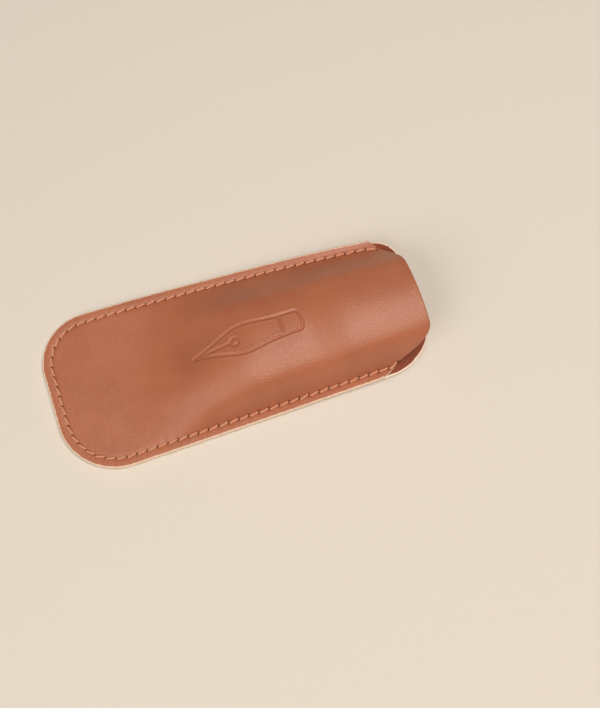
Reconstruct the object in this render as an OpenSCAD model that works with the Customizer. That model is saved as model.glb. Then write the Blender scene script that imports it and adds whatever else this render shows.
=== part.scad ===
// Sewn leather case for two pocket fountain pens, lying on its back panel.
// The origin is under the middle of the case. +X points out of the mouth and +Z up.
// The pens have drawn the +Y side in, and the -Y side has stayed straight.
// A place on a panel is [u, w]: u runs from the closed end, w across the cut leather
// from the straight side.

/* [Leather] */
// Length of the back panel, closed end to mouth
case_l = 121; // [114:1:132]
// Width that both panels are cut to
case_w = 52.4; // [49:0.2:58]
// Thickness of one panel
leather_t = 1; // [0.7:0.1:1.2]
// How far the front panel's lip stays behind the back panel's
lip_back = 1.7; // [0.5:0.1:4]

/* [Corners] */
// Radius at the closed end, straight side
end_r_lo = 19; // [14:0.5:22]
// Radius at the closed end, drawn-in side
end_r_hi = 16; // [14:0.5:22]
// Radius of the back panel at the mouth, straight side
mouth_r_lo = 17; // [8:0.5:18]
// Radius of the back panel at the mouth, drawn-in side
mouth_r_hi = 8.5; // [8:0.5:18]
// How far the front lip's curve reaches along the leather, straight side
lip_reach_lo = 16; // [12:0.5:24]
// How far the front lip's curve reaches along the leather, drawn-in side
lip_reach_hi = 15; // [12:0.5:24]
// How far back the lip's curve runs on the straight side
lip_sweep_lo = 18.5; // [7:0.5:24]
// How far back the lip's curve runs on the drawn-in side
lip_sweep_hi = 7.5; // [7:0.5:24]

/* [Pens] */
// Diameter of a pen's cap
pen_d = 13; // [11:0.5:13.5]
// Diameter of a pen's barrel, inside the case
barrel_d = 11; // [9:0.5:11]
// How far the caps go into the case
cap_in = 30; // [15:1:40]
// Depth of the straight-side pen in the pocket
pen_a_in = 70; // [55:1:80]
// Depth of the drawn-side pen in the pocket
pen_b_in = 61; // [50:1:80]
// Place across of the straight-side pen at the mouth
pen_a_y = -12.7; // [-13.5:0.1:-10]
// Place across of the drawn-side pen at the mouth
pen_b_y = 1.8; // [1:0.1:3]
// Length of the slope from a pen's inner end down to the flat leather
slope_l = 31; // [18:1:32]
// How far the pens draw the drawn-in side inwards at the mouth
draw_in = 9.6; // [5:0.2:10]
// Height that the seam is lifted at the mouth, straight side
lift_lo = 1.6; // [0:0.1:3]
// Height that the seam is lifted at the mouth, drawn-in side
lift_hi = 3.4; // [0:0.1:4]

/* [Seam] */
// Distance from the cut edge to the seam
seam_in = 2.9; // [2.4:0.1:3.5]
// Length of one stitch
stitch_l = 3.32; // [2.6:0.02:4]
// Diameter of the thread
thread_d = 0.42; // [0.3:0.02:0.46]

/* [Hidden] */
leather_colour = "#b06747";
thread_colour = "#c08a66";

gap = 0.05;          // air between the two panels in the seam
stand_off = 0.5;     // the sewn border stands this far off the table
border_fade = 6;     // and comes down to it over this length
draw_from = 10;      // the drawn-in side starts to bend here
draw_bend = 1.75;    // and bends with this power of the distance
lift_from = 45;      // the seam starts to rise here
foot_lo = 12;        // inside this the back panel lies flat, straight side
foot_hi = 17;        // and drawn-in side
tilt_lo = 0.12;      // upward slope of the border at the mouth, straight side
tilt_hi = 0.3;       // and drawn-in side
splay_a = 0.022;     // sideways run of each pen, for each millimetre of its length
splay_b = -0.084;
ease = 0.15;         // slack of the leather round a pen
cap_fade = 14;       // length over which a cap steps down to its barrel
taper_l = 17;        // length over which a barrel narrows to its inner end
lean = 22;           // angle at which the arch leaves a pen's outer shoulder
hug = 6;             // how far past the taut line the leather follows a pen
steepest = 78;       // steepest slope beside a pen
shoulder_min = 0.8;  // the slope beside a pen is at least this wide
foot_slope = 0.5;    // slope at which the front panel meets the seam
belly = 2.2;         // shape where there's no pen: roundness at the top
foot = 1.3;          // and softness where it meets the seam
bend_r = 2.2;        // half the width over which a bend across the leather is spread
step = 0.05;         // step for slopes
long_n = 38;         // cells along a panel
corner_n = 10;       // cells across a corner
middle_n = 8;        // cells between the corners

lip_l = case_l - lip_back;
a_end = lip_l - pen_a_in;
b_end = lip_l - pen_b_in;
mouth_u = lip_l - 5;

function ramp(t) = let (k = min(1, max(0, t))) k * k * (3 - 2 * k);
function mix(a, b, t) = a + (b - a) * t;
function arc_cut(d, r) = d < r ? r - sqrt(r * r - (r - d) * (r - d)) : 0;
function corner_cut(w, r_lo, r_hi) = max(arc_cut(w, r_lo), arc_cut(case_w - w, r_hi));

// The plan: the place across of a long line of the leather.
function drawn(u) = draw_in * pow(max(0, (u - draw_from) / (case_l - draw_from)), draw_bend);
function across(u, w) = mix(-case_w / 2, case_w / 2 - drawn(u), w / case_w);

// Distance from the cut edge, round the closed end and along the sides.
function edge_gap(u, w) =
    u < end_r_lo && w < end_r_lo ? end_r_lo - norm([end_r_lo - u, end_r_lo - w]) :
    u < end_r_hi && case_w - w < end_r_hi ?
        end_r_hi - norm([end_r_hi - u, end_r_hi - case_w + w]) :
    min(u, w, case_w - w);

// The underside of the back panel.
function mouth_ramp(u) = ramp((u - lift_from) / (case_l - lift_from));
function side_rise(d, lift, tilt, reach) =
    lift * pow(min(1, max(0, (reach - d) / (reach - seam_in))), 2) + tilt * max(0, seam_in - d);
function back_under(u, w) =
    stand_off * (1 - ramp((edge_gap(u, w) - seam_in) / border_fade))
    + mouth_ramp(u) * (side_rise(w, lift_lo, tilt_lo, foot_lo)
                       + side_rise(case_w - w, lift_hi, tilt_hi, foot_hi));

// The top of the front panel: a border that lies on the back panel, and one arch over both pens.
function pen_y(u, y, splay) = y + splay * (u - case_l);
function swell(u, end) =
    let (t = min(1, max(0, (u - end + slope_l) / (slope_l + taper_l))))
    pow(t, 3) * (t * (6 * t - 15) + 10);
function around(u) =
    mix(barrel_d, pen_d, ramp((u - lip_l + cap_in + cap_fade / 2) / cap_fade)) / 2
    + leather_t + ease;
function seam_level(u, w) =
    let (t = (w - seam_in) / (case_w - 2 * seam_in))
    mix(back_under(u, seam_in), back_under(u, case_w - seam_in), min(1, max(0, t)));

// Height at a distance d beside a pen: round its shoulder, then down to the seam at reach.
function beside(d, reach, low, r) =
    let (taut = atan2(low - r, reach) + acos(min(0.98, r / norm([reach, low - r]))),
         turn = min(steepest, 90 - taut + hug),
         from = min(r * sin(turn), reach - shoulder_min),
         high = r + r * cos(turn),
         k = max(reach - from, step),
         t = min(1, max(0, (d - from) / k)))
    d < from ? r + sqrt(max(0, r * r - d * d)) :
    high * (2 * pow(t, 3) - 3 * t * t + 1) - tan(turn) * k * (pow(t, 3) - 2 * t * t + t)
    + low * (3 * t * t - 2 * pow(t, 3)) - foot_slope * k * (pow(t, 3) - t * t);
function belly_at(t) = pow(max(0, 1 - pow(min(1, max(0, t)), belly)), foot);
function arched(u, w) =
    let (low = 2 * leather_t + gap + max(seam_level(u, w), back_under(u, w)),
         y = across(u, w),
         a = pen_y(u, pen_a_y, splay_a), b = pen_y(u, pen_b_y, splay_b),
         lo = across(u, seam_in), hi = across(u, case_w - seam_in),
         r = around(u), shoulder = r * sin(lean),
         half = (b - a) / 2 + shoulder, middle = (a + b) / 2,
         top = r + r * cos(lean), crown = half / 2 * tan(lean),
         full = y < a - shoulder ? beside(a - y, a - lo, low, r) :
                y > b + shoulder ? beside(y - b, hi - b, low, r) :
                top + crown * (1 - pow((y - middle) / half, 2)),
         s = mix(swell(u, a_end), swell(u, b_end), ramp((y - a) / (b - a))),
         out = y < middle ? (middle - y) / (middle - lo) : (y - middle) / (hi - middle),
         soft = low + (top + crown - low) * belly_at(out))
    max(low, low + s * (mix(soft, full, s) - low));
function front_over(u, w) =
    let (edge = edge_gap(u, w), spread = min(bend_r, 0.7 * (edge - seam_in)) / 2)
    edge <= seam_in ? back_under(u, w) + 2 * leather_t + gap :
    (arched(u, w - 2 * spread) + arched(u, w - spread) + arched(u, w)
     + arched(u, w + spread) + arched(u, w + 2 * spread)) / 5;

function place(u, w, z) = [u - case_l / 2, across(u, w), z];
function on_top(u, w) = place(u, w, front_over(u, w));
function on_under(u, w) = place(u, w, back_under(u, w));
function upward(p, pu, pw) = let (n = cross(pu - p, pw - p)) n / norm(n);
function under_top(u, w) =
    on_top(u, w) - leather_t * upward(on_top(u, w), on_top(u + step, w), on_top(u, w + step));
function over_under(u, w) =
    on_under(u, w)
    + leather_t * upward(on_under(u, w), on_under(u + step, w), on_under(u, w + step));

// Where the long lines of a panel lie: close together in the corners.
LINES = concat(
    [for (k = [0 : corner_n - 1]) end_r_lo * (1 - cos(90 * k / corner_n))],
    [for (k = [0 : middle_n - 1]) mix(end_r_lo, case_w - end_r_hi, k / middle_n)],
    [for (k = [corner_n : -1 : 0]) case_w - end_r_hi * (1 - cos(90 * k / corner_n))]);
LINES_N = len(LINES);

// Length of leather from the straight side to each long line, round the belly at the mouth.
function girth(k) = k == 0 ? 0
    : girth(k - 1) + norm(on_top(mouth_u, LINES[k]) - on_top(mouth_u, LINES[k - 1]));
GIRTHS = [for (k = [0 : LINES_N - 1]) girth(k)];
function lip_cut(v, reach, sweep) =
    sweep * pow(max(0, (reach - v) / reach), 2);

STARTS = [for (w = LINES) corner_cut(w, end_r_lo, end_r_hi)];
BACK_STOPS = [for (w = LINES) case_l - corner_cut(w, mouth_r_lo, mouth_r_hi)];
FRONT_STOPS = [for (k = [0 : LINES_N - 1])
    lip_l - max(lip_cut(GIRTHS[k], lip_reach_lo, lip_sweep_lo),
                lip_cut(GIRTHS[LINES_N - 1] - GIRTHS[k], lip_reach_hi, lip_sweep_hi))];
function along(k, i, stops) = mix(STARTS[k], stops[k], i / long_n);

// One closed solid from two grids of points, upper and lower.
module sheet(upper, lower) {
    row = LINES_N;
    count = (long_n + 1) * row;
    cells = [for (i = [0 : long_n - 1], k = [0 : row - 2]) i * row + k];
    top = [for (c = cells, f = [[c, c + 1, c + row], [c + 1, c + row + 1, c + row]]) f];
    under = [for (f = top) [f[2] + count, f[1] + count, f[0] + count]];
    rim = concat(
        [for (k = [0 : row - 2]) k],
        [for (i = [0 : long_n - 1]) i * row + row - 1],
        [for (k = [row - 1 : -1 : 1]) long_n * row + k],
        [for (i = [long_n : -1 : 1]) i * row]);
    rim_n = len(rim);
    wall = [for (j = [0 : rim_n - 1])
        let (a = rim[j], b = rim[(j + 1) % rim_n])
        for (f = [[b, a, a + count], [b, a + count, b + count]]) f];
    polyhedron(concat(upper, lower), concat(top, under, wall), convexity = 6);
}

module back_panel() {
    spots = [for (i = [0 : long_n], k = [0 : LINES_N - 1]) [along(k, i, BACK_STOPS), LINES[k]]];
    color(leather_colour) sheet(
        [for (s = spots) over_under(s[0], s[1])],
        [for (s = spots) on_under(s[0], s[1])]);
}

module front_panel() {
    spots = [for (i = [0 : long_n], k = [0 : LINES_N - 1]) [along(k, i, FRONT_STOPS), LINES[k]]];
    color(leather_colour) sheet(
        [for (s = spots) on_top(s[0], s[1])],
        [for (s = spots) under_top(s[0], s[1])]);
}

// The seam runs from the mouth down the straight side, round the end and back.
seam_r_lo = end_r_lo - seam_in;
seam_r_hi = end_r_hi - seam_in;
turn_lo = seam_r_lo * PI / 2;
turn_hi = seam_r_hi * PI / 2;
seam_from = lip_l - 12.3;
seam_to = lip_l - 4.4;
run_lo = seam_from - end_r_lo;
run_end = case_w - end_r_lo - end_r_hi;
run_hi = seam_to - end_r_hi;
seam_total = run_lo + turn_lo + run_end + turn_hi + run_hi;
stitches = floor(seam_total / stitch_l);
function seam_spot(s) =
    s < run_lo ? let (u = seam_from - s)
        [u, seam_in + 0.06 * pow(max(0, u - seam_from + 3.5), 2)] :
    s < run_lo + turn_lo ? let (a = 90 * (s - run_lo) / turn_lo)
        [end_r_lo - seam_r_lo * sin(a), end_r_lo - seam_r_lo * cos(a)] :
    s < run_lo + turn_lo + run_end ? [seam_in, end_r_lo + s - run_lo - turn_lo] :
    s < seam_total - run_hi ? let (a = 90 * (s - seam_total + run_hi + turn_hi) / turn_hi)
        [end_r_hi - seam_r_hi * cos(a), case_w - end_r_hi + seam_r_hi * sin(a)] :
    let (u = s - seam_total + run_hi + end_r_hi)
        [u, case_w - seam_in - 0.05 * pow(max(0, u - seam_to + 6), 2)];

// One stitch: a short straight length of thread between two points.
module thread_between(a, b) {
    d = b - a;
    translate(a)
        rotate([0, acos(d[2] / norm(d)), atan2(d[1], d[0])])
            cylinder(d = thread_d, h = norm(d), $fn = 16);
}

module needle_thread() {
    color(thread_colour)
        for (i = [0 : stitches - 1]) {
            a = seam_spot((i + 0.16) * stitch_l);
            b = seam_spot((i + 0.84) * stitch_l);
            up = [0, 0, thread_d / 2 + 0.16];
            thread_between(on_top(a[0], a[1]) + up, on_top(b[0], b[1]) + up);
        }
}

module bobbin_thread() {
    color(thread_colour)
        for (i = [0 : stitches - 1]) {
            a = seam_spot((i + 0.16) * stitch_l);
            b = seam_spot((i + 0.84) * stitch_l);
            down = [0, 0, thread_d / 2 + 0.03];
            thread_between(on_under(a[0], a[1]) - down, on_under(b[0], b[1]) - down);
        }
}

back_panel();
front_panel();
needle_thread();
bobbin_thread();
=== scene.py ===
"""The looks of a sewn leather case for two pocket fountain pens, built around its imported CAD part.

Lengths are in metres. A place on the leather is (u, w): u runs from the closed end towards the
mouth, and w across the cut leather from its straight side, as in the CAD part.
"""

import math

import bpy
import numpy as np
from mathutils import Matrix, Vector


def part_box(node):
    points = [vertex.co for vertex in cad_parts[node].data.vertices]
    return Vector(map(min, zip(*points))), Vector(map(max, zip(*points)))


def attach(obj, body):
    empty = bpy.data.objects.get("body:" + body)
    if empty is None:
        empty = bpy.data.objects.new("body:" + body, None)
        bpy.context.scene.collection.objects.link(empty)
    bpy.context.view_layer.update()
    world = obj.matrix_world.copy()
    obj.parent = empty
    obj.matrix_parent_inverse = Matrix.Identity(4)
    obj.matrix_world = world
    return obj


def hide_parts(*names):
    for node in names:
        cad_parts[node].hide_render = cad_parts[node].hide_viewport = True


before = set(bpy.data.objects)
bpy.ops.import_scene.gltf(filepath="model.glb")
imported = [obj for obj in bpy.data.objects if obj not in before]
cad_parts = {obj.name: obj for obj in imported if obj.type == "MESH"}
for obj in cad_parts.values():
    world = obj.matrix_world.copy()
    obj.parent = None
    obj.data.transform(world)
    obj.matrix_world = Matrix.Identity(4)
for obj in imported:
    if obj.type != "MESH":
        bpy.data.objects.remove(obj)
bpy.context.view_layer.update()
BACK_LOW, BACK_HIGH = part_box("back_panel")
FRONT_LOW, FRONT_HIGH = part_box("front_panel")

bl_info = {
    "name": "Leather pen case",
    "version": (1, 0, 0),
    "blender": (4, 5, 0),
    "location": "View3D > Sidebar > Pen case",
    "description": "Builds a sewn leather case for two pocket fountain pens",
    "category": "Add Mesh",
}

MM = 0.001


def length(name, description, default):
    """A length property, in metres."""
    return bpy.props.FloatProperty(
        name=name, description=description, default=default, precision=5, unit="LENGTH"
    )


def linear(hex_colour):
    """An sRGB hex colour as linear RGBA."""
    parts = [int(hex_colour[i : i + 2], 16) / 255 for i in (1, 3, 5)]
    return [p / 12.92 if p <= 0.04045 else ((p + 0.055) / 1.055) ** 2.4 for p in parts] + [1.0]


def colour(name, description, default):
    """A colour property, whose default is an sRGB hex colour."""
    return bpy.props.FloatVectorProperty(
        name=name, description=description, default=linear(default), size=4, min=0, max=1, subtype="COLOR"
    )


class CaseSizes(bpy.types.PropertyGroup):
    """Sizes of the case. They are the CAD part's own."""

    case_l: length("Length", "Length of the back panel", BACK_HIGH.x - BACK_LOW.x)
    case_w: length("Width", "Width that both panels are cut to", 52.4 * MM)
    lip_l: length("Front length", "Length of the front panel", FRONT_HIGH.x - FRONT_LOW.x)
    leather_t: length("Leather", "Thickness of one panel", 1.0 * MM)
    end_r_lo: length("End radius, straight side", "Corner of the closed end", 19 * MM)
    end_r_hi: length("End radius, drawn side", "Corner of the closed end", 16 * MM)
    mouth_r_lo: length("Mouth radius, straight side", "Corner of the back panel", 17 * MM)
    mouth_r_hi: length("Mouth radius, drawn side", "Corner of the back panel", 8.5 * MM)
    lip_reach_lo: length("Lip reach, straight side", "How far along the leather its curve goes", 16 * MM)
    lip_reach_hi: length("Lip reach, drawn side", "How far along the leather its curve goes", 15 * MM)
    lip_sweep_lo: length("Lip sweep, straight side", "How far back the lip runs", 18.5 * MM)
    lip_sweep_hi: length("Lip sweep, drawn side", "How far back the lip runs", 7.5 * MM)
    pen_d: length("Pen", "Diameter of a pen's cap", 13 * MM)
    barrel_d: length("Barrel", "Diameter of a pen's barrel, inside the case", 11 * MM)
    cap_in: length("Cap depth", "How far the caps go into the case", 30 * MM)
    pen_a_in: length("Pen depth, straight side", "How far the pen goes in", 70 * MM)
    pen_b_in: length("Pen depth, drawn side", "How far the pen goes in", 61 * MM)
    pen_a_y: length("Pen place, straight side", "Place across at the mouth", -12.7 * MM)
    pen_b_y: length("Pen place, drawn side", "Place across at the mouth", 1.8 * MM)
    slope_l: length("Slope", "From a pen's inner end down to the flat leather", 31 * MM)
    draw_in: length("Draw", "How far the pens draw one side in at the mouth", 9.6 * MM)
    lift_lo: length("Lift, straight side", "Height of the seam's rise at the mouth", 1.6 * MM)
    lift_hi: length("Lift, drawn side", "Height of the seam's rise at the mouth", 3.4 * MM)
    seam_in: length("Seam inset", "Distance from the cut edge to the seam", 2.9 * MM)
    stitch_l: length("Stitch", "Length of one stitch", 3.32 * MM)
    thread_d: length("Thread", "Diameter of the thread", 0.42 * MM)


class FinishColours(bpy.types.PropertyGroup):
    """Colours of the leather, the thread and the floor."""

    grain_deep: colour("Grain, deep", "Deeper tone of the grain side", "#9e583c")
    grain_light: colour("Grain, light", "Lighter tone of the grain side", "#b06a49")
    flesh_deep: colour("Flesh, deep", "Deeper tone of the inner side", "#6f2f18")
    flesh_light: colour("Flesh, light", "Lighter tone of the inner side", "#94492c")
    core_pale: colour("Cut edge, pale", "Paler tone of the raw cut edge", "#efdac6")
    core_deep: colour("Cut edge, deep", "Deeper tone of the raw cut edge", "#cfa684")
    # Painted shade: the needle holes are coloured this near-black brown for the shadow inside them.
    hole: colour("Needle hole", "Inside of the needle holes", "#2f130a")
    thread_light: colour("Thread, light", "Lit tone of the sewing thread", "#dfa283")
    thread_deep: colour("Thread, deep", "Deeper tone of the sewing thread", "#b8744f")
    paper: colour("Floor", "Pale paper that the case lies on", "#d9d1c7")


# ---------------------------------------------------------------------------------------------
# Shape: the CAD part's own formulas, so that each surface lies where its solid does


def ramp(t):
    """0 to 1, with a smooth start and end."""
    k = np.clip(t, 0, 1)
    return k * k * (3 - 2 * k)


def mix(a, b, t):
    return a + (b - a) * t


def arc_cut(d, r):
    """How far a corner of radius r cuts back at distance d from the side."""
    return np.where(d < r, r - np.sqrt(np.maximum(0, r * r - (r - d) ** 2)), 0)


class CaseShape:
    """The surfaces of both panels and the line of the seam."""

    GAP = 0.05 * MM  # air between the two panels in the seam
    STAND_OFF = 0.5 * MM  # the sewn border stands this far off the table
    BORDER_FADE = 6 * MM  # and comes down to it over this length
    DRAW_FROM = 10 * MM  # the drawn side starts to bend here
    DRAW_BEND = 1.75  # and bends with this power of the distance
    LIFT_FROM = 45 * MM  # the seam starts to rise here
    FOOT_LO, FOOT_HI = 12 * MM, 17 * MM  # inside these the back panel lies flat
    TILT_LO, TILT_HI = 0.12, 0.3  # upward slope of the border at the mouth
    SPLAY_A, SPLAY_B = 0.022, -0.084  # sideways run of each pen along its length
    CAP_FADE = 14 * MM  # a cap steps down to its barrel over this length
    TAPER_L = 17 * MM  # a barrel narrows to its inner end over this length
    LEAN = math.radians(22)  # where the arch leaves a pen's outer shoulder
    HUG = math.radians(6)  # how far past the taut line the leather follows a pen
    STEEPEST = math.radians(78)  # steepest slope beside a pen
    SHOULDER_MIN = 0.8 * MM  # the slope beside a pen is at least this wide
    FOOT_SLOPE = 0.5  # slope at which the front panel meets the seam
    BELLY, FOOT = 2.2, 1.3  # roundness and foot of the shape where there's no pen
    EASE = 0.15 * MM  # slack of the leather round a pen
    BEND_R = 2.2 * MM  # half the width over which a bend across the leather is spread
    STEP = 0.05 * MM  # step for slopes
    SEAM_FROM, SEAM_TO = 12.3 * MM, 4.4 * MM  # the seam's ends, behind the lip
    CURL_LO, CURL_HI = (60, 3.5 * MM), (50, 6 * MM)  # they bend inwards: how much, and from where
    MOUTH_IN = 5 * MM  # the girth is measured this far behind the lip

    def __init__(self, sizes):
        for name in CaseSizes.__annotations__:
            setattr(self, name, float(getattr(sizes, name)))
        self.a_end = self.lip_l - self.pen_a_in
        self.b_end = self.lip_l - self.pen_b_in

    # Plan

    def across(self, u, w):
        bend = np.maximum(0, (u - self.DRAW_FROM) / (self.case_l - self.DRAW_FROM))
        bend = bend**self.DRAW_BEND
        return mix(-self.case_w / 2, self.case_w / 2 - self.draw_in * bend, w / self.case_w)

    def edge_gap(self, u, w):
        """Distance from the cut edge, round the closed end and along the sides."""
        lo, hi, far = self.end_r_lo, self.end_r_hi, self.case_w - w
        gap = np.minimum(np.minimum(u, w), far)
        gap = np.where((u < hi) & (far < hi), hi - np.hypot(hi - u, hi - far), gap)
        return np.where((u < lo) & (w < lo), lo - np.hypot(lo - u, lo - w), gap)

    # Heights

    def side_rise(self, d, lift, tilt, reach):
        near = np.clip((reach - d) / (reach - self.seam_in), 0, 1)
        return lift * near**2 + tilt * np.maximum(0, self.seam_in - d)

    def back_under(self, u, w):
        border = 1 - ramp((self.edge_gap(u, w) - self.seam_in) / self.BORDER_FADE)
        rise = self.side_rise(w, self.lift_lo, self.TILT_LO, self.FOOT_LO) + self.side_rise(
            self.case_w - w, self.lift_hi, self.TILT_HI, self.FOOT_HI
        )
        mouth = ramp((u - self.LIFT_FROM) / (self.case_l - self.LIFT_FROM))
        return self.STAND_OFF * border + mouth * rise

    def around(self, u):
        """Radius of the leather round a pen."""
        cap = ramp((u - self.lip_l + self.cap_in + self.CAP_FADE / 2) / self.CAP_FADE)
        return mix(self.barrel_d, self.pen_d, cap) / 2 + self.leather_t + self.EASE

    def swell(self, u, end):
        """How far the leather has risen towards a pen whose inner end is at that u."""
        t = np.clip((u - end + self.slope_l) / (self.slope_l + self.TAPER_L), 0, 1)
        return t**3 * (t * (6 * t - 15) + 10)

    def side(self, d, reach, low, r):
        """Height beside a pen: round its shoulder, then down to the seam."""
        seam = np.hypot(reach, low - r)
        taut = np.arctan2(low - r, reach) + np.arccos(np.minimum(0.98, r / seam))
        turn = np.minimum(self.STEEPEST, math.pi / 2 - taut + self.HUG)
        d0 = np.minimum(r * np.sin(turn), reach - self.SHOULDER_MIN)
        z0 = r + r * np.cos(turn)
        k = reach - d0
        t = np.clip((d - d0) / k, 0, 1)
        down = (
            z0 * (2 * t**3 - 3 * t**2 + 1)
            - np.tan(turn) * k * (t**3 - 2 * t**2 + t)
            + low * (3 * t**2 - 2 * t**3)
            - self.FOOT_SLOPE * k * (t**3 - t**2)
        )
        return np.where(d < d0, r + np.sqrt(np.maximum(0, r * r - d * d)), down)

    def arched(self, u, w):
        """Top of the front panel inside the seam: one arch over both pens."""
        share = np.clip((w - self.seam_in) / (self.case_w - 2 * self.seam_in), 0, 1)
        seams = mix(
            self.back_under(u, self.seam_in), self.back_under(u, self.case_w - self.seam_in), share
        )
        low = np.maximum(seams, self.back_under(u, w)) + 2 * self.leather_t + self.GAP
        y = self.across(u, w)
        a = self.pen_a_y + self.SPLAY_A * (u - self.case_l)
        b = self.pen_b_y + self.SPLAY_B * (u - self.case_l)
        lo, hi = self.across(u, self.seam_in), self.across(u, self.case_w - self.seam_in)
        r = self.around(u)
        shoulder = r * math.sin(self.LEAN)
        half, middle = (b - a) / 2 + shoulder, (a + b) / 2
        crown = half / 2 * math.tan(self.LEAN)
        top = r + r * math.cos(self.LEAN)
        full = np.where(
            y < a - shoulder,
            self.side(a - y, a - lo, low, r),
            np.where(
                y > b + shoulder,
                self.side(y - b, hi - b, low, r),
                top + crown * (1 - ((y - middle) / half) ** 2),
            ),
        )
        swell = mix(self.swell(u, self.a_end), self.swell(u, self.b_end), ramp((y - a) / (b - a)))
        beside = np.where(y < middle, (middle - y) / (middle - lo), (y - middle) / (hi - middle))
        soft = low + (top + crown - low) * (1 - np.clip(beside, 0, 1) ** self.BELLY) ** self.FOOT
        return np.maximum(low, low + swell * (mix(soft, full, swell) - low))

    def front_over(self, u, w):
        edge = self.edge_gap(u, w)
        base = self.back_under(u, w) + 2 * self.leather_t + self.GAP
        spread = np.minimum(self.BEND_R, 0.7 * np.maximum(edge - self.seam_in, 0)) / 2
        arch = sum(self.arched(u, w + k * spread) for k in (-2, -1, 0, 1, 2)) / 5
        return np.where(edge <= self.seam_in, base, arch)

    # Points and normals

    def point(self, height, u, w):
        return np.stack([u - self.case_l / 2 + 0 * w, self.across(u, w), height(u, w)], -1)

    def point_and_normal(self, height, u, w):
        """The point on a surface and the unit normal there, upwards."""
        p = self.point(height, u, w)
        n = np.cross(
            self.point(height, u + self.STEP, w) - p, self.point(height, u, w + self.STEP) - p
        )
        return p, n / np.linalg.norm(n, axis=-1, keepdims=True)

    # Seam

    def seam_line(self):
        """The seam as many (u, w) places, with the distance along it."""
        r_lo, r_hi = self.end_r_lo - self.seam_in, self.end_r_hi - self.seam_in
        start, stop = self.lip_l - self.SEAM_FROM, self.lip_l - self.SEAM_TO
        n = 400
        u = np.linspace(start, self.end_r_lo, n)
        curl = self.CURL_LO[0] * np.maximum(0, u - start + self.CURL_LO[1]) ** 2
        parts = [np.stack([u, self.seam_in + curl], -1)]
        a = np.linspace(0, math.pi / 2, n)
        parts.append(self.end_r_lo - r_lo * np.stack([np.sin(a), np.cos(a)], -1))
        parts.append(
            np.stack([self.end_r_hi - r_hi * np.cos(a), self.case_w - self.end_r_hi + r_hi * np.sin(a)], -1)
        )
        u = np.linspace(self.end_r_hi, stop, n)
        curl = self.CURL_HI[0] * np.maximum(0, u - stop + self.CURL_HI[1]) ** 2
        parts.append(np.stack([u, self.case_w - self.seam_in - curl], -1))
        line = np.concatenate(parts)
        steps = np.hypot(*np.diff(line, axis=0).T)
        line = line[np.concatenate([[True], steps > 1e-9])]
        return line, np.concatenate([[0], np.cumsum(np.hypot(*np.diff(line, axis=0).T))])

    def seam_places(self, s):
        """(u, w) and the unit direction at distances s along the seam."""
        line, along = self.seam_line()

        def at(x):
            return np.stack([np.interp(x, along, line[:, k]) for k in (0, 1)], -1)

        way = at(s + 0.2 * MM) - at(s - 0.2 * MM)
        return at(s), way / np.maximum(np.linalg.norm(way, axis=-1, keepdims=True), 1e-12)

    def holes(self):
        """Distances along the seam of the needle holes."""
        count = math.floor(self.seam_line()[1][-1] / self.stitch_l)
        return np.arange(count + 1) * self.stitch_l

    # Long lines of a panel, close together along the sides

    def lines(self):
        corner, middle = 62, 64
        a = np.arange(corner) / corner * math.pi / 2
        return np.concatenate(
            [
                self.end_r_lo * (1 - np.cos(a)),
                np.linspace(self.end_r_lo, self.case_w - self.end_r_hi, middle, endpoint=False),
                self.case_w - self.end_r_hi * (1 - np.cos(np.append(a, math.pi / 2)[::-1])),
            ]
        )

    def starts(self, w):
        return np.maximum(arc_cut(w, self.end_r_lo), arc_cut(self.case_w - w, self.end_r_hi))

    def back_stops(self, w):
        return self.case_l - np.maximum(
            arc_cut(w, self.mouth_r_lo), arc_cut(self.case_w - w, self.mouth_r_hi)
        )

    def front_stops(self, w):
        mouth = self.lip_l - self.MOUTH_IN
        p = self.point(self.front_over, np.full_like(w, mouth), w)
        girth = np.concatenate([[0], np.cumsum(np.linalg.norm(np.diff(p, axis=0), axis=1))])

        def cut(v, reach, sweep):
            return sweep * np.maximum(0, (reach - v) / reach) ** 2

        return self.lip_l - np.maximum(
            cut(girth, self.lip_reach_lo, self.lip_sweep_lo),
            cut(girth[-1] - girth, self.lip_reach_hi, self.lip_sweep_hi),
        )


# ---------------------------------------------------------------------------------------------
# Meshes

END_CLUSTER = np.array([0, 0.04, 0.1, 0.18, 0.28, 0.4, 0.55, 0.75, 1.0]) * MM
MIDDLE_COLUMNS = 500


def grid(starts, stops, w):
    """(u, w) of every vertex of a panel: long lines, trimmed at both ends."""
    t = np.linspace(0, 1, MIDDLE_COLUMNS)[1:-1, None]
    first, last = starts + END_CLUSTER[-1], stops - END_CLUSTER[-1]
    u = np.concatenate(
        [starts + END_CLUSTER[:, None], mix(first, last, t), stops - END_CLUSTER[::-1, None]]
    )
    return u, np.broadcast_to(w, u.shape)


def cut_gap(shape, u, w, stops):
    """Distance from the cut edge all round a panel, mouth included."""
    lean = np.gradient(stops, w[0])
    return np.minimum(shape.edge_gap(u, w), (stops - u) / np.sqrt(1 + lean**2))


def rolled_lip(shape, u, w, stops):
    """0 along the sides and the closed end, 1 along the mouth, where the lip is burnished."""
    behind = (stops - u) / np.sqrt(1 + np.gradient(stops, w[0]) ** 2)
    return ramp((shape.edge_gap(u, w) - behind) / (1.2 * MM)) * (u > shape.case_l / 2)


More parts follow.
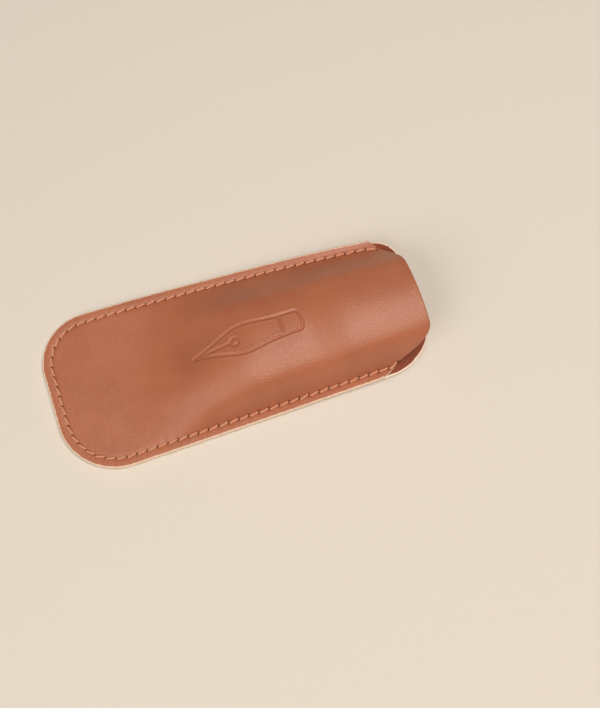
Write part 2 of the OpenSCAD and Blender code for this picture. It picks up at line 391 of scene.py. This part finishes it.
def mesh_object(name, verts, quads, regions, materials):
    """A smooth mesh of quads, with its material for each quad."""
    mesh = bpy.data.meshes.new(name)
    mesh.vertices.add(len(verts))
    mesh.vertices.foreach_set("co", verts.astype(np.float32).ravel())
    mesh.loops.add(4 * len(quads))
    mesh.loops.foreach_set("vertex_index", quads.astype(np.int32).ravel())
    mesh.polygons.add(len(quads))
    mesh.polygons.foreach_set("loop_start", np.arange(0, 4 * len(quads), 4, dtype=np.int32))
    mesh.polygons.foreach_set("material_index", regions.astype(np.int32))
    mesh.update(calc_edges=True)
    mesh.validate()
    mesh.shade_smooth()
    for m in materials:
        mesh.materials.append(m)
    obj = bpy.data.objects.new(name, mesh)
    bpy.context.scene.collection.objects.link(obj)
    return obj


def add_layers(obj, places, **layers):
    """A UV map of the flat leather, in metres, and one float layer for each keyword."""
    mesh = obj.data
    corners = np.zeros(len(mesh.loops), np.int32)
    mesh.loops.foreach_get("vertex_index", corners)
    uv = mesh.uv_layers.new(name="flat_leather")
    uv.data.foreach_set("uv", places[corners].astype(np.float32).ravel())
    for name, values in layers.items():
        layer = mesh.attributes.new(name, "FLOAT", "POINT")
        layer.data.foreach_set("value", values.astype(np.float32).ravel())


def panel_mesh(name, upper, under, places, gap, needle, stamp, materials):
    """A panel from its upper and under grids, with a raw cut edge between them. The first
    material is the upper side's, the second the under side's and the third the edge's."""
    rows, row = upper.shape[:2]
    count = rows * row
    cell = (np.arange(rows - 1)[:, None] * row + np.arange(row - 1)).ravel()
    top = np.stack([cell, cell + row, cell + row + 1, cell + 1], -1)
    bottom = top[:, ::-1] + count
    rim = np.concatenate(
        [
            np.arange(row - 1),
            np.arange(rows - 1) * row + row - 1,
            (rows - 1) * row + np.arange(row - 1, 0, -1),
            np.arange(rows - 1, 0, -1) * row,
        ]
    )
    # The blade leaves the core fibrous: the edge wanders a little, and bulges in its middle.
    flat_upper, flat_under = upper.reshape(-1, 3), under.reshape(-1, 3)
    along = np.roll(flat_upper[rim], -2, 0) - np.roll(flat_upper[rim], 2, 0)
    out = np.stack([along[:, 1], -along[:, 0], 0 * along[:, 0]], -1)
    out = -out / np.maximum(np.linalg.norm(out, axis=1, keepdims=True), 1e-12)
    rough = np.random.default_rng(7).normal(size=len(rim))
    rough = sum(np.roll(rough, k) for k in range(-3, 4)) / math.sqrt(7)
    bulge = (0.08 + 0.07 * np.clip(rough, -1.5, 1.5))[:, None] * MM * out
    rings = [
        flat_upper[rim],
        mix(flat_upper[rim], flat_under[rim], 0.3) + bulge,
        mix(flat_upper[rim], flat_under[rim], 0.7) + bulge,
        flat_under[rim],
    ]
    n = len(rim)
    ids = [rim, 2 * count + np.arange(n), 2 * count + n + np.arange(n), rim + count]
    walls = [
        np.stack([np.roll(a, -1), a, b, np.roll(b, -1)], -1)[:, ::-1] for a, b in zip(ids, ids[1:])
    ]
    verts = np.concatenate([flat_upper, flat_under, rings[1], rings[2]])
    quads = np.concatenate([top, bottom, *walls])
    regions = np.repeat([0, 1, 2], [len(top), len(bottom), 3 * n])
    obj = mesh_object(name, verts, quads, regions, materials)
    spots = places.reshape(-1, 2)

    def everywhere(values):
        flat = values.ravel()
        return np.concatenate([flat, flat, flat[rim], flat[rim]])

    add_layers(
        obj,
        np.concatenate([spots, spots, spots[rim], spots[rim]]),
        cut_gap=everywhere(gap),
        needle=everywhere(needle),
        stamp=everywhere(stamp),
    )
    return obj


# Marks of the seam in the leather: a groove along it, and at each needle hole a slanting slit
# in a shallow dip. Half lengths and half widths are in metres, depths in millimetres.
MARK_REACH = 2.5 * MM  # no mark is further from the seam than this
SLANT = 0.5  # how much the slit leans
SLIT, DIP = (0.6 * MM, 0.36 * MM), (1.1 * MM, 0.9 * MM)
GROOVE = 0.7 * MM
GROOVE_STOP = 4.5 * MM  # the groove ends this far behind the lip
GROOVE_DEEP, DIP_DEEP, SLIT_DEEP = 0.14, 0.13, 0.50


def seam_marks(shape, u, w):
    """How deep the seam pulls the leather in, in metres, and a mask that is 1 inside the needle holes,
    where their shadow is painted as a dark colour.
    """
    near = np.abs(shape.edge_gap(u, w) - shape.seam_in) < MARK_REACH
    spots, ways = shape.seam_places(shape.holes())
    du, dw = u[near][:, None] - spots[:, 0], w[near][:, None] - spots[:, 1]
    along = du * ways[:, 0] + dw * ways[:, 1]
    beside = -du * ways[:, 1] + dw * ways[:, 0]
    slant = beside + SLANT * along
    hole = np.sqrt((along / SLIT[0]) ** 2 + (slant / SLIT[1]) ** 2).min(1)
    wide = np.sqrt((along / DIP[0]) ** 2 + (beside / DIP[1]) ** 2).min(1)
    line = np.abs(shape.edge_gap(u, w)[near] - shape.seam_in)
    in_seam = ramp((shape.lip_l - GROOVE_STOP - u[near]) / (2 * MM))
    depth = np.zeros(u.shape)
    depth[near] = (
        GROOVE_DEEP * np.exp(-((line / GROOVE) ** 2)) * in_seam
        + DIP_DEEP * np.exp(-(wide**2))
        + SLIT_DEEP * (1 - ramp((hole - 0.45) / 0.75))
    ) * MM
    # The mask of the needle holes, where painted shade darkens the leather.
    hole_shade = np.zeros(u.shape)
    hole_shade[near] = 1 - ramp((hole - 0.75) / 0.35)
    return depth, hole_shade


def nib_strokes():
    """Points along a plain fountain pen nib drawn in outline, its tip at the origin."""
    half = np.array(
        [(0, 0), (1.5, 0.35), (6, 1.5), (11, 3.3), (15.5, 4.7), (20, 4.5), (26, 3.4), (33, 3.2)]
    )
    outline = np.concatenate([half[::-1], half[1:] * (1, -1), [(36, -3.2), (36, 3.2), (33, 3.2)]])
    for _ in range(3):
        ahead = np.roll(outline, -1, 0)
        outline = np.stack([0.75 * outline + 0.25 * ahead, 0.25 * outline + 0.75 * ahead], 1)
        outline = outline.reshape(-1, 2)
    outline = np.append(outline, outline[:1], 0)
    turn = np.linspace(0, 2 * math.pi, 40)
    breather = np.stack([14.2 + 1.25 * np.cos(turn), 1.25 * np.sin(turn)], -1)
    slit = np.array([(2.4, 0), (12.9, 0)])
    collar = np.array([(29.5, -2.6), (29.5, 2.6)])
    dots = []
    for stroke in (outline, breather, slit, collar):
        steps = np.hypot(*np.diff(stroke, axis=0).T)
        at = np.concatenate([[0], np.cumsum(steps)])
        s = np.arange(0, at[-1], 0.08)
        dots.append(np.stack([np.interp(s, at, stroke[:, k]) for k in (0, 1)], -1))
    return np.concatenate(dots) * MM


def stamp_marks(shape, u, w):
    """How deep the blind stamp presses the leather in, in metres, and 1 in its strokes."""
    tip_u, middle_y = 46 * MM, -2.2 * MM
    x, y = u - tip_u, shape.across(u, w) - middle_y
    near = (x > -2 * MM) & (x < 40 * MM) & (np.abs(y) < 7 * MM)
    dots = nib_strokes()
    spots = np.stack([x[near], y[near]], -1)
    away = np.full(len(spots), 1.0)
    for part in np.array_split(np.arange(len(dots)), 40):
        away = np.minimum(
            away, np.hypot(spots[:, None, 0] - dots[part, 0], spots[:, None, 1] - dots[part, 1]).min(1)
        )
    # A stroke's bed is 0.44 mm wide and 0.3 mm deep, with soft sides and a faint raised rim.
    pressed = 1 - ramp((away - 0.22 * MM) / (0.45 * MM))
    shoulder = np.exp(-(((away - 0.85 * MM) / (0.3 * MM)) ** 2))
    depth, mark = np.zeros(u.shape), np.zeros(u.shape)
    depth[near] = (0.3 * pressed - 0.05 * shoulder) * MM
    mark[near] = pressed
    return depth, mark


def edge_drop(gap, width, depth):
    """How far a rounded edge falls below the surface, at a distance from the cut."""
    t = np.clip(1 - gap / width, 0, 1)
    return depth * (1 - np.sqrt(np.maximum(0, 1 - t * t)))


SPREAD = 1.5  # the plies lie a little open on top of the leather
SINK = 0.06 * MM  # the thread beds this far into the leather


def thread_mesh(name, shape, height, up, material):
    """The stitches of one thread. Each comes out of its needle hole, lies along the leather
    and goes down the next, as three twisted plies. up is 1 above the leather, -1 below it."""
    r = shape.thread_d / 2
    # The path of half a stitch: its height, and how far along the stitch it has come.
    rise = np.array([-0.95, -0.5, -0.12, 0.02, 0.1, 0.13, 0.14, 0.14, 0.14, 0.14]) * MM
    go = np.array([0.105, 0.105, 0.115, 0.14, 0.18, 0.24, 0.32, 0.4, 0.46, 0.5])
    rise, go = np.append(rise, rise[-2::-1]), np.append(go, 1 - go[-2::-1])
    fine = np.linspace(0, len(go) - 1, 34)
    rise, go = (np.interp(fine, np.arange(len(go)), v) for v in (rise, go))
    sides, twist = 15, 1.3 * MM
    turn = np.arange(sides) / sides * 2 * math.pi
    verts, quads, places = [], [], []
    holes = shape.holes()
    lean = np.random.default_rng(3).normal(0.33, 0.05, len(holes)) * MM
    for i, s in enumerate(holes[:-1]):
        spots, ways = shape.seam_places(s + go * shape.stitch_l)
        slant = (go - 0.5)[:, None] * 2 * lean[i] * np.stack([-ways[:, 1], ways[:, 0]], -1)
        spots = spots + slant * up
        p, n = shape.point_and_normal(height, spots[:, 0], spots[:, 1])
        n = n.mean(0) / np.linalg.norm(n.mean(0))
        p = p + up * (rise - SINK)[:, None] * n
        t = np.gradient(p, axis=0)
        t /= np.linalg.norm(t, axis=1, keepdims=True)
        b = np.cross(n, p[-1] - p[0])
        b /= np.linalg.norm(b)
        c = np.cross(t, b)
        run = np.concatenate([[0], np.cumsum(np.linalg.norm(np.diff(p, axis=0), axis=1))])
        phase = turn - 2 * math.pi * (run[:, None] + s) / twist
        radius = SPREAD * r * (0.92 + 0.10 * np.cos(3 * phase))
        ring = (
            p[:, None]
            + (radius * np.cos(turn))[..., None] * b
            + (radius * np.sin(turn))[..., None] * c[:, None]
        )
        base = len(verts) * len(go) * sides
        k = np.arange(len(go) - 1)[:, None] * sides
        j = np.arange(sides)
        after = (j + 1) % sides
        skin = np.stack([k + j, k + after, k + sides + after, k + sides + j], -1)
        quads.append(base + skin.reshape(-1, 4))
        verts.append(ring.reshape(-1, 3))
        spot = np.stack(np.broadcast_arrays(run[:, None] + s, turn * r), -1)
        places.append(spot.reshape(-1, 2))
    quads = np.concatenate(quads)
    obj = mesh_object(name, np.concatenate(verts), quads, np.zeros(len(quads)), [material])
    add_layers(obj, np.concatenate(places))
    return obj


# ---------------------------------------------------------------------------------------------
# Materials

FACTOR, COLOUR_A, COLOUR_B, MIXED = 0, 6, 7, 2  # sockets of a colour Mix node


def add_node(tree, kind, inputs=None, **settings):
    """A new node with its settings. An input is a value, or an output socket to link."""
    node = tree.nodes.new(kind)
    for name, value in settings.items():
        setattr(node, name, value)
    for name, value in (inputs or {}).items():
        if isinstance(value, bpy.types.NodeSocket):
            tree.links.new(value, node.inputs[name])
        else:
            node.inputs[name].default_value = value
    return node


def new_material(name):
    material = bpy.data.materials.new(name)
    material.use_nodes = True
    material.node_tree.nodes.clear()
    return material, material.node_tree


def grain_leather(colours):
    """Chrome-tanned cowhide, its grain side dyed, plated smooth and waxed."""
    # Plating leaves a soft sheen over fine pores. Dye and wax lie in slow, cloudy tones, and
    # bending raises hairline wrinkles. The cut edge is raw, so the pale core shows there.
    # The needle holes get a dark colour: painted shade for the shadow inside them.
    material, tree = new_material("cowhide_plated_grain")
    flat = add_node(tree, "ShaderNodeUVMap", uv_map="flat_leather").outputs["UV"]
    cloudy = add_node(
        tree,
        "ShaderNodeTexNoise",
        {"Vector": flat, "Scale": 1 / (16 * MM), "Detail": 4.0, "Roughness": 0.55},
    )
    # Hair pores are 0.1 to 0.2 mm across. They and the speckle between them are drawn at about
    # 0.5 mm, so that they show.
    pores = add_node(tree, "ShaderNodeTexVoronoi", {"Vector": flat, "Scale": 1 / (0.55 * MM)})
    speckle = add_node(
        tree,
        "ShaderNodeTexNoise",
        {"Vector": flat, "Scale": 1 / (0.5 * MM), "Detail": 2.0, "Roughness": 0.6},
    )
    tone = add_node(
        tree,
        "ShaderNodeMapRange",
        {"Value": cloudy.outputs["Fac"], "From Min": 0.15, "From Max": 0.85},
    )
    dyed = add_node(
        tree,
        "ShaderNodeMix",
        {FACTOR: tone.outputs["Result"], COLOUR_A: colours.grain_deep, COLOUR_B: colours.grain_light},
        data_type="RGBA",
    )
    pressed = add_node(tree, "ShaderNodeAttribute", attribute_name="stamp").outputs["Fac"]
    shade = add_node(
        tree,
        "ShaderNodeMapRange",
        {"Value": pressed, "From Max": 1.0, "To Min": 0.0, "To Max": 0.35},
    )
    stamped = add_node(
        tree,
        "ShaderNodeMix",
        {FACTOR: shade.outputs["Result"], COLOUR_A: dyed.outputs[MIXED], COLOUR_B: colours.grain_deep},
        data_type="RGBA",
    )
    # Painted shade: inside the needle holes the colour goes to the dark hole colour, for the shadow in
    # them. The holes are also made rough.
    needle = add_node(tree, "ShaderNodeAttribute", attribute_name="needle").outputs["Fac"]
    painted_hole_shade = add_node(
        tree,
        "ShaderNodeMix",
        {FACTOR: needle, COLOUR_A: stamped.outputs[MIXED], COLOUR_B: colours.hole},
        data_type="RGBA",
    )
    # The core shows for 0.3 mm or so where the edge is raw, and its border wanders with the fibres.
    gap = add_node(tree, "ShaderNodeAttribute", attribute_name="cut_gap").outputs["Fac"]
    fray = add_node(
        tree,
        "ShaderNodeTexNoise",
        {"Vector": flat, "Scale": 1 / (1.4 * MM), "Detail": 2.0},
    )
    border = add_node(
        tree,
        "ShaderNodeMath",
        {0: fray.outputs["Fac"], 1: -0.45 * MM, 2: gap},
        operation="MULTIPLY_ADD",
    )
    raw = add_node(
        tree,
        "ShaderNodeMapRange",
        {
            "Value": border.outputs["Value"],
            "From Min": 0.1 * MM,
            "From Max": 0.26 * MM,
            "To Min": 1.0,
            "To Max": 0.0,
        },
    )
    core = add_node(
        tree,
        "ShaderNodeMix",
        {FACTOR: speckle.outputs["Fac"], COLOUR_A: colours.core_deep, COLOUR_B: colours.core_pale},
        data_type="RGBA",
    )
    surface = add_node(
        tree,
        "ShaderNodeMix",
        {FACTOR: raw.outputs["Result"], COLOUR_A: painted_hole_shade.outputs[MIXED], COLOUR_B: core.outputs[MIXED]},
        data_type="RGBA",
    )
    # Wrinkles: low ridges 1 to 2 mm apart that run across the case, stronger near the seam.
    stretched = add_node(
        tree, "ShaderNodeMapping", {"Vector": flat, "Scale": (1.0, 0.32, 1.0), "Rotation": (0, 0, 0.5)}
    )
    creases = add_node(
        tree,
        "ShaderNodeTexNoise",
        {
            "Vector": stretched.outputs["Vector"],
            "Scale": 1 / (2.6 * MM),
            "Detail": 5.0,
            "Roughness": 0.62,
            "Distortion": 0.6,
        },
    )
    near_seam = add_node(
        tree,
        "ShaderNodeMapRange",
        {"Value": gap, "From Min": 4 * MM, "From Max": 12 * MM, "To Min": 1.0, "To Max": 0.35},
    )
    wrinkle = add_node(
        tree,
        "ShaderNodeMath",
        {0: creases.outputs["Fac"], 1: near_seam.outputs["Result"]},
        operation="MULTIPLY",
    )
    bent = add_node(
        tree,
        "ShaderNodeBump",
        {"Height": wrinkle.outputs["Value"], "Distance": 0.2 * MM, "Strength": 0.85},
    )
    fine = add_node(
        tree,
        "ShaderNodeBump",
        {
            "Height": pores.outputs["Distance"],
            "Distance": 0.05 * MM,
            "Strength": 0.7,
            "Normal": bent.outputs["Normal"],
        },
    )
    grain = add_node(
        tree,
        "ShaderNodeBump",
        {
            "Height": speckle.outputs["Fac"],
            "Distance": 0.14 * MM,
            "Strength": 0.85,
            "Normal": fine.outputs["Normal"],
        },
    )
    sheen_loss = add_node(
        tree,
        "ShaderNodeMath",
        {0: needle, 1: raw.outputs["Result"]},
        operation="MAXIMUM",
    )
    rough = add_node(
        tree,
        "ShaderNodeMapRange",
        {"Value": sheen_loss.outputs["Value"], "To Min": 0.44, "To Max": 0.95},
    )
    leather = add_node(
        tree,
        "ShaderNodeBsdfPrincipled",
        {
            "Base Color": surface.outputs[MIXED],
            "Roughness": rough.outputs["Result"],
            "Normal": grain.outputs["Normal"],
            "IOR": 1.5,
            "Coat Weight": 0.15,
            "Coat Roughness": 0.34,
            "Coat IOR": 1.44,
            "Coat Normal": grain.outputs["Normal"],
        },
    )
    add_node(tree, "ShaderNodeOutputMaterial", {"Surface": leather.outputs["BSDF"]})
    return material


def flesh_leather(colours):
    """The flesh side of the same hide, dyed through and shaved."""
    # Shaving leaves a short, matt nap that lies in small tufts and looks darker than the grain.
    material, tree = new_material("cowhide_shaved_flesh")
    flat = add_node(tree, "ShaderNodeUVMap", uv_map="flat_leather").outputs["UV"]
    tufts = add_node(
        tree,
        "ShaderNodeTexNoise",
        {"Vector": flat, "Scale": 1 / (0.9 * MM), "Detail": 5.0, "Roughness": 0.7},
    )
    dyed = add_node(
        tree,
        "ShaderNodeMix",
        {FACTOR: tufts.outputs["Fac"], COLOUR_A: colours.flesh_deep, COLOUR_B: colours.flesh_light},
        data_type="RGBA",
    )
    # The knife has bared a rim of the undyed core.
    gap = add_node(tree, "ShaderNodeAttribute", attribute_name="cut_gap").outputs["Fac"]
    border = add_node(
        tree, "ShaderNodeMath", {0: tufts.outputs["Fac"], 1: -0.3 * MM, 2: gap}, operation="MULTIPLY_ADD"
    )
    raw = add_node(
        tree,
        "ShaderNodeMapRange",
        {
            "Value": border.outputs["Value"],
            "From Min": 0.2 * MM,
            "From Max": 0.4 * MM,
            "To Min": 1.0,
            "To Max": 0.0,
        },
    )
    rimmed = add_node(
        tree,
        "ShaderNodeMix",
        {FACTOR: raw.outputs["Result"], COLOUR_A: dyed.outputs[MIXED], COLOUR_B: colours.core_pale},
        data_type="RGBA",
    )
    nap = add_node(
        tree, "ShaderNodeBump", {"Height": tufts.outputs["Fac"], "Distance": 0.15 * MM, "Strength": 0.8}
    )
    leather = add_node(
        tree,
        "ShaderNodeBsdfPrincipled",
        {
            "Base Color": rimmed.outputs[MIXED],
            "Roughness": 0.9,
            "Normal": nap.outputs["Normal"],
            "Sheen Weight": 0.15,
            "Sheen Roughness": 0.6,
        },
    )
    add_node(tree, "ShaderNodeOutputMaterial", {"Surface": leather.outputs["BSDF"]})
    return material


def core_leather(colours):
    """The undyed core of the hide, cut with a knife and left raw."""
    # The fibres run through the cut in a pale felt, with darker lines between the bundles.
    material, tree = new_material("cowhide_raw_cut")
    place = add_node(tree, "ShaderNodeTexCoord").outputs["Object"]
    bundles = add_node(
        tree,
        "ShaderNodeTexNoise",
        {"Vector": place, "Scale": 1 / (0.5 * MM), "Detail": 4.0, "Roughness": 0.65},
    )
    cut = add_node(
        tree,
        "ShaderNodeMix",
        {FACTOR: bundles.outputs["Fac"], COLOUR_A: colours.core_deep, COLOUR_B: colours.core_pale},
        data_type="RGBA",
    )
    felt = add_node(
        tree, "ShaderNodeBump", {"Height": bundles.outputs["Fac"], "Distance": 0.2 * MM, "Strength": 0.9}
    )
    leather = add_node(
        tree,
        "ShaderNodeBsdfPrincipled",
        {
            "Base Color": cut.outputs[MIXED],
            "Roughness": 0.95,
            "Normal": felt.outputs["Normal"],
            "Sheen Weight": 0.1,
        },
    )
    add_node(tree, "ShaderNodeOutputMaterial", {"Surface": leather.outputs["BSDF"]})
    return material


def sewing_thread(colours):
    """Bonded polyester thread, three plies twisted, dyed a shade lighter than the leather."""
    # The plies are modelled. The filaments in them are 0.02 mm thick and are drawn at 0.08 mm.
    material, tree = new_material("polyester_bonded_thread")
    run = add_node(tree, "ShaderNodeUVMap", uv_map="flat_leather").outputs["UV"]
    drawn = add_node(tree, "ShaderNodeMapping", {"Vector": run, "Scale": (0.25, 1.0, 1.0)})
    filaments = add_node(
        tree,
        "ShaderNodeTexNoise",
        {"Vector": drawn.outputs["Vector"], "Scale": 1 / (0.08 * MM), "Detail": 2.0},
    )
    dyed = add_node(
        tree,
        "ShaderNodeMix",
        {FACTOR: filaments.outputs["Fac"], COLOUR_A: colours.thread_deep, COLOUR_B: colours.thread_light},
        data_type="RGBA",
    )
    fuzz = add_node(
        tree, "ShaderNodeBump", {"Height": filaments.outputs["Fac"], "Distance": 0.02 * MM, "Strength": 0.6}
    )
    thread = add_node(
        tree,
        "ShaderNodeBsdfPrincipled",
        {
            "Base Color": dyed.outputs[MIXED],
            "Roughness": 0.5,
            "Normal": fuzz.outputs["Normal"],
            "Sheen Weight": 0.2,
            "Sheen Roughness": 0.4,
        },
    )
    add_node(tree, "ShaderNodeOutputMaterial", {"Surface": thread.outputs["BSDF"]})
    return material


def studio_paper(colours):
    """Uncoated paper from a roll, pale and matt."""
    # Uncoated stock scatters all light, with only a faint cloudiness from the pulp.
    material, tree = new_material("paper_uncoated")
    place = add_node(tree, "ShaderNodeTexCoord").outputs["Object"]
    pulp = add_node(
        tree,
        "ShaderNodeTexNoise",
        {"Vector": place, "Scale": 1 / (2.0 * MM), "Detail": 6.0, "Roughness": 0.7},
    )
    cloud = add_node(
        tree,
        "ShaderNodeMapRange",
        {"Value": pulp.outputs["Fac"], "To Min": 0.96, "To Max": 1.0},
    )
    tone = add_node(
        tree,
        "ShaderNodeMix",
        {FACTOR: 1.0, COLOUR_A: colours.paper, COLOUR_B: cloud.outputs["Result"]},
        data_type="RGBA",
        blend_type="MULTIPLY",
    )
    paper = add_node(
        tree, "ShaderNodeBsdfPrincipled", {"Base Color": tone.outputs[MIXED], "Roughness": 0.85}
    )
    add_node(tree, "ShaderNodeOutputMaterial", {"Surface": paper.outputs["BSDF"]})
    return material


def material_named(name, make, colours):
    """The material of that name, made once."""
    return bpy.data.materials.get(name) or make(colours)


# ---------------------------------------------------------------------------------------------
# Operators


def panel_materials(colours, order):
    makers = {
        "grain": ("cowhide_plated_grain", grain_leather),
        "flesh": ("cowhide_shaved_flesh", flesh_leather),
        "core": ("cowhide_raw_cut", core_leather),
    }
    return [material_named(*makers[part], colours) for part in order]


class PENCASE_OT_back_panel(bpy.types.Operator):
    """Build the back panel: flat where it lies, curled up along the seam towards the mouth"""

    bl_idname = "pencase.back_panel"
    bl_label = "Back panel"

    def execute(self, context):
        shape = CaseShape(context.scene.pen_case_sizes)
        w = shape.lines()
        starts, stops = shape.starts(w), shape.back_stops(w)
        u, w = grid(starts, stops, w)
        gap = cut_gap(shape, u, w, stops)
        under, normal = shape.point_and_normal(shape.back_under, u, w)
        upper = under + shape.leather_t * normal
        sunk, hole_shade = seam_marks(shape, u, w)
        drop = edge_drop(gap, 0.35 * MM, 0.3 * MM) + np.minimum(sunk, 0.35 * MM)
        upper = upper - normal * edge_drop(gap, 0.5 * MM, 0.3 * MM)[..., None]
        under = under + normal * drop[..., None]
        panel = panel_mesh(
            "back_leather", upper, under, np.stack([u, w], -1), gap, hole_shade, 0 * gap,
            panel_materials(context.scene.pen_case_colours, ("flesh", "grain", "core")),
        )
        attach(panel, "root")
        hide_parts("back_panel")
        return {"FINISHED"}


class PENCASE_OT_front_panel(bpy.types.Operator):
    """Build the front panel: flat in the seam, arched over the pens, with a blind stamp"""

    bl_idname = "pencase.front_panel"
    bl_label = "Front panel"

    def execute(self, context):
        shape = CaseShape(context.scene.pen_case_sizes)
        w = shape.lines()
        starts, stops = shape.starts(w), shape.front_stops(w)
        u, w = grid(starts, stops, w)
        gap = cut_gap(shape, u, w, stops)
        upper, normal = shape.point_and_normal(shape.front_over, u, w)
        under = upper - shape.leather_t * normal
        sunk, hole_shade = seam_marks(shape, u, w)
        pressed, stamp = stamp_marks(shape, u, w)
        drop = edge_drop(gap, 0.4 * MM, 0.4 * MM) + sunk + pressed
        rolled = rolled_lip(shape, u, w, stops)
        upper = upper - normal * drop[..., None]
        under = under + normal * edge_drop(gap, 0.2 * MM, 0.12 * MM)[..., None]
        panel = panel_mesh(
            "front_leather", upper, under, np.stack([u, w], -1), gap + rolled * MM, hole_shade, stamp,
            panel_materials(context.scene.pen_case_colours, ("grain", "flesh", "core")),
        )
        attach(panel, "root")
        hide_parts("front_panel")
        return {"FINISHED"}


class PENCASE_OT_threads(bpy.types.Operator):
    """Sew the lockstitch seam: the needle thread on the front, the bobbin thread on the back"""

    bl_idname = "pencase.threads"
    bl_label = "Seam threads"

    def execute(self, context):
        shape = CaseShape(context.scene.pen_case_sizes)
        colours = context.scene.pen_case_colours
        material = material_named("polyester_bonded_thread", sewing_thread, colours)
        for name, node, height, up in (
            ("needle_stitches", "needle_thread", shape.front_over, 1),
            ("bobbin_stitches", "bobbin_thread", shape.back_under, -1),
        ):
            thread = thread_mesh(name, shape, height, up, material)
            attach(thread, "root")
            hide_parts(node)
        return {"FINISHED"}


class PENCASE_OT_stage(bpy.types.Operator):
    """Set the stage: a pale paper floor, one large soft light, a weak fill and the camera"""

    bl_idname = "pencase.stage"
    bl_label = "Stage"

    def execute(self, context):
        scene = context.scene
        # The paper is one sheet, flat under the case, that turns up at its far edges.
        n, reach, flat_to = 80, 1.6, 0.9
        side = np.linspace(-reach, reach, n)
        x, y = np.meshgrid(side, side, indexing="ij")
        z = 0.35 * np.maximum(0, np.hypot(x, y) - flat_to) ** 2
        cell = (np.arange(n - 1)[:, None] * n + np.arange(n - 1)).ravel()
        quads = np.stack([cell, cell + n, cell + n + 1, cell + 1], -1)
        verts = np.stack([x, y, z], -1).reshape(-1, 3)
        paper = material_named("paper_uncoated", studio_paper, scene.pen_case_colours)
        floor = mesh_object("studio_floor", verts, quads, np.zeros(len(quads)), [paper])

        aim = Vector((0.0187, -0.0091, 0))
        eye = Vector((-0.00602, -0.07991, 0.27992))
        camera = bpy.data.objects.new("camera", bpy.data.cameras.new("camera"))
        camera.data.sensor_fit = "HORIZONTAL"
        camera.data.sensor_width, camera.data.lens = 36, 54
        camera.data.clip_start, camera.data.clip_end = 0.01, 10
        camera.location = eye
        camera.rotation_euler = (aim - eye).to_track_quat("-Z", "Y").to_euler()
        scene.collection.objects.link(camera)
        scene.camera = camera

        for name, place, size, watts, tint in (
            ("softbox", (0.26, -0.20, 1.07), (0.56, 0.40), 10.1, "#fff6ec"),
            ("fill_panel", (-0.85, -0.45, 0.8), (0.9, 0.9), 7.0, "#fbf6ee"),
        ):
            lamp = bpy.data.lights.new(name, "AREA")
            lamp.shape = "RECTANGLE"
            lamp.size, lamp.size_y = size
            lamp.energy = watts
            lamp.color = linear(tint)[:3]
            light = bpy.data.objects.new(name, lamp)
            light.location = place
            light.rotation_euler = (-Vector(place)).to_track_quat("-Z", "Y").to_euler()
            scene.collection.objects.link(light)

        world = bpy.data.worlds.new("studio")
        world.use_nodes = True
        world.node_tree.nodes.clear()
        air = add_node(
            world.node_tree, "ShaderNodeBackground", {"Color": linear("#f3efe9"), "Strength": 0.2}
        )
        add_node(world.node_tree, "ShaderNodeOutputWorld", {"Surface": air.outputs["Background"]})
        scene.world = world
        scene.view_settings.view_transform = "Standard"
        return {"FINISHED"}


class PENCASE_PT_build(bpy.types.Panel):
    """Buttons that build each piece of the case"""

    bl_idname = "PENCASE_PT_build"
    bl_label = "Pen case"
    bl_space_type = "VIEW_3D"
    bl_region_type = "UI"
    bl_category = "Pen case"

    def draw(self, context):
        for operator in OPERATORS:
            self.layout.operator(operator.bl_idname)
        for group in (context.scene.pen_case_sizes, context.scene.pen_case_colours):
            box = self.layout.box()
            for name in group.__annotations__:
                box.prop(group, name)


OPERATORS = (
    PENCASE_OT_stage,
    PENCASE_OT_back_panel,
    PENCASE_OT_front_panel,
    PENCASE_OT_threads,
)
CLASSES = (CaseSizes, FinishColours, *OPERATORS, PENCASE_PT_build)


def register():
    for cls in CLASSES:
        bpy.utils.register_class(cls)
    bpy.types.Scene.pen_case_sizes = bpy.props.PointerProperty(type=CaseSizes)
    bpy.types.Scene.pen_case_colours = bpy.props.PointerProperty(type=FinishColours)


def unregister():
    del bpy.types.Scene.pen_case_colours
    del bpy.types.Scene.pen_case_sizes
    for cls in reversed(CLASSES):
        bpy.utils.unregister_class(cls)


def main():
    register()
    bpy.ops.pencase.stage()
    bpy.ops.pencase.back_panel()
    bpy.ops.pencase.front_panel()
    bpy.ops.pencase.threads()


if __name__ == "__main__":
    main()
